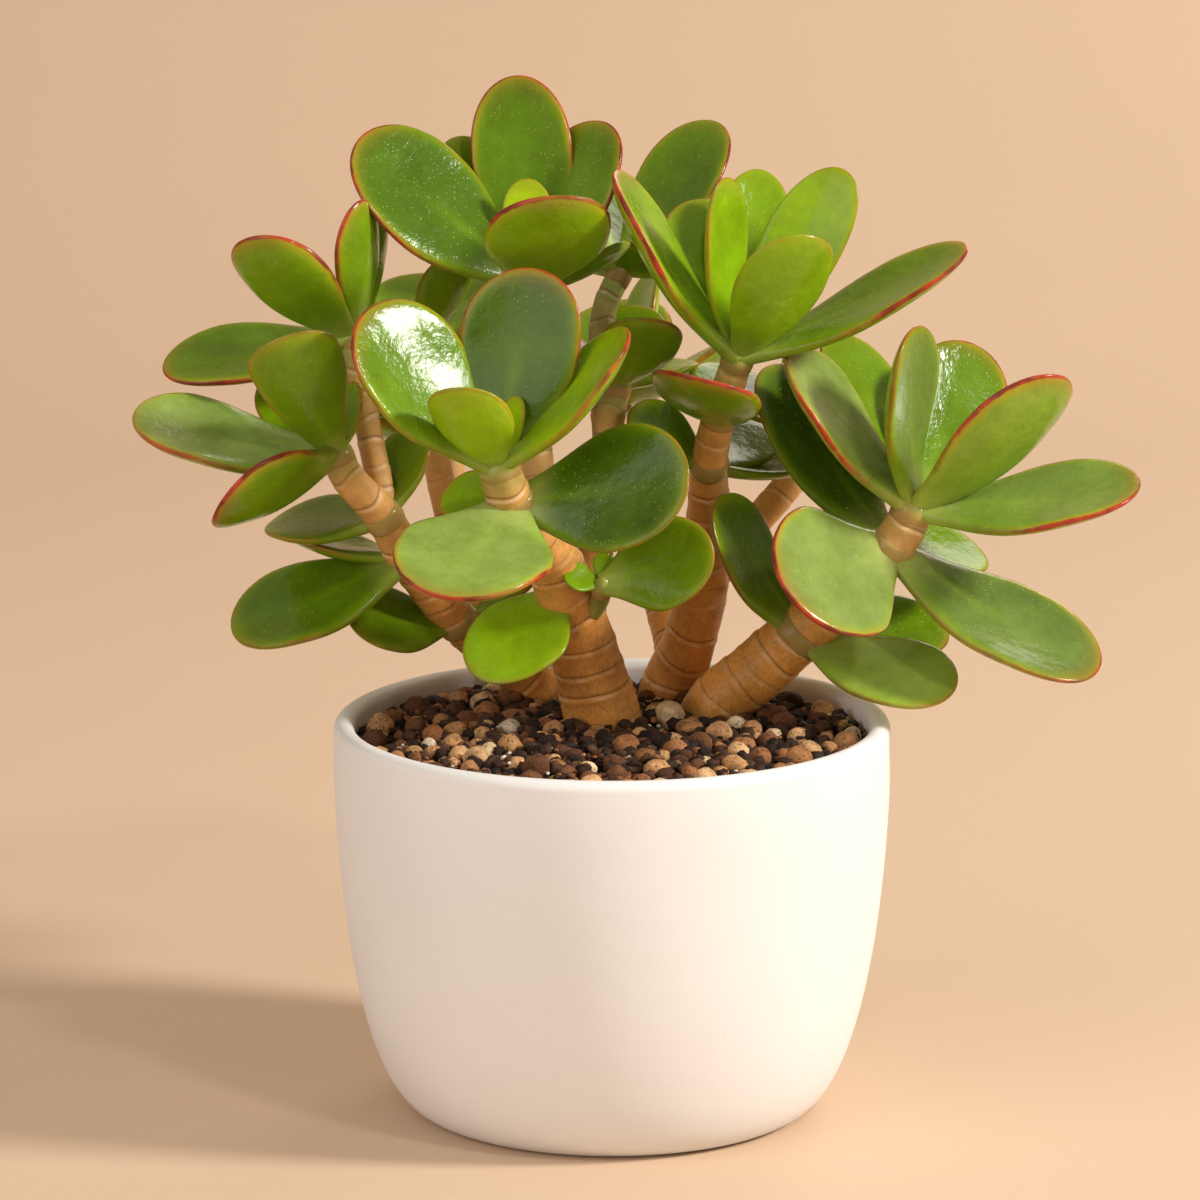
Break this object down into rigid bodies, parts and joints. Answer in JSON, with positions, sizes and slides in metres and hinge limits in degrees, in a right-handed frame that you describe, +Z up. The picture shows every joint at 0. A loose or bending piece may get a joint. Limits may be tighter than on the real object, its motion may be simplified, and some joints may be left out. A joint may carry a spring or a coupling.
{
  "type": "potted jade plant",
  "caption": "Young jade plant with woody brown trunks and heads of fleshy, red-edged oval leaves, in a round tapered white pot filled with clay pellet mix",
  "frame": {"origin": "middle of the pot's flat base, on the surface that it stands on", "axes": "+Z up along the pot's axis, -Y to the front of the plant as pictured, +X to its right"},
  "size_m": [0.2138, 0.1663, 0.221],
  "materials": {
    "ceramic": "matt white ceramic with a faint speckle and a soft sheen on the rim",
    "mix": "dry gritty potting mix of fired clay pellets and dark crumbs",
    "bark": "smooth brown succulent bark with pale ring scars and papery peeling flakes",
    "leaf": "waxy fleshy green leaf with a thin red margin and a satin shine"
  },
  "bodies": {
    "root": {"pot": "ceramic", "potting_mix": "mix", "front_trunk": "bark", "middle_trunk": "bark", "right_trunk": "bark", "left_trunk": "bark", "front_head_leaves": "leaf", "front_upper_leaves": "leaf", "front_lower_leaf": "leaf", "twig_leaves": "leaf", "crest_head_leaves": "leaf", "rear_head_leaves": "leaf", "heart_head_leaves": "leaf", "middle_head_leaves": "leaf", "middle_upper_leaves": "leaf", "middle_lower_leaves": "leaf", "shoulder_head_leaves": "leaf", "back_head_leaves": "leaf", "right_head_leaves": "leaf", "right_upper_leaves": "leaf", "right_lower_leaves": "leaf", "left_head_leaves": "leaf", "left_upper_leaves": "leaf", "left_middle_leaves": "leaf", "left_lower_leaves": "leaf", "side_head_leaves": "leaf", "nape_head_leaves": "leaf", "corner_head_leaves": "leaf"}
  },
  "joints": []
}
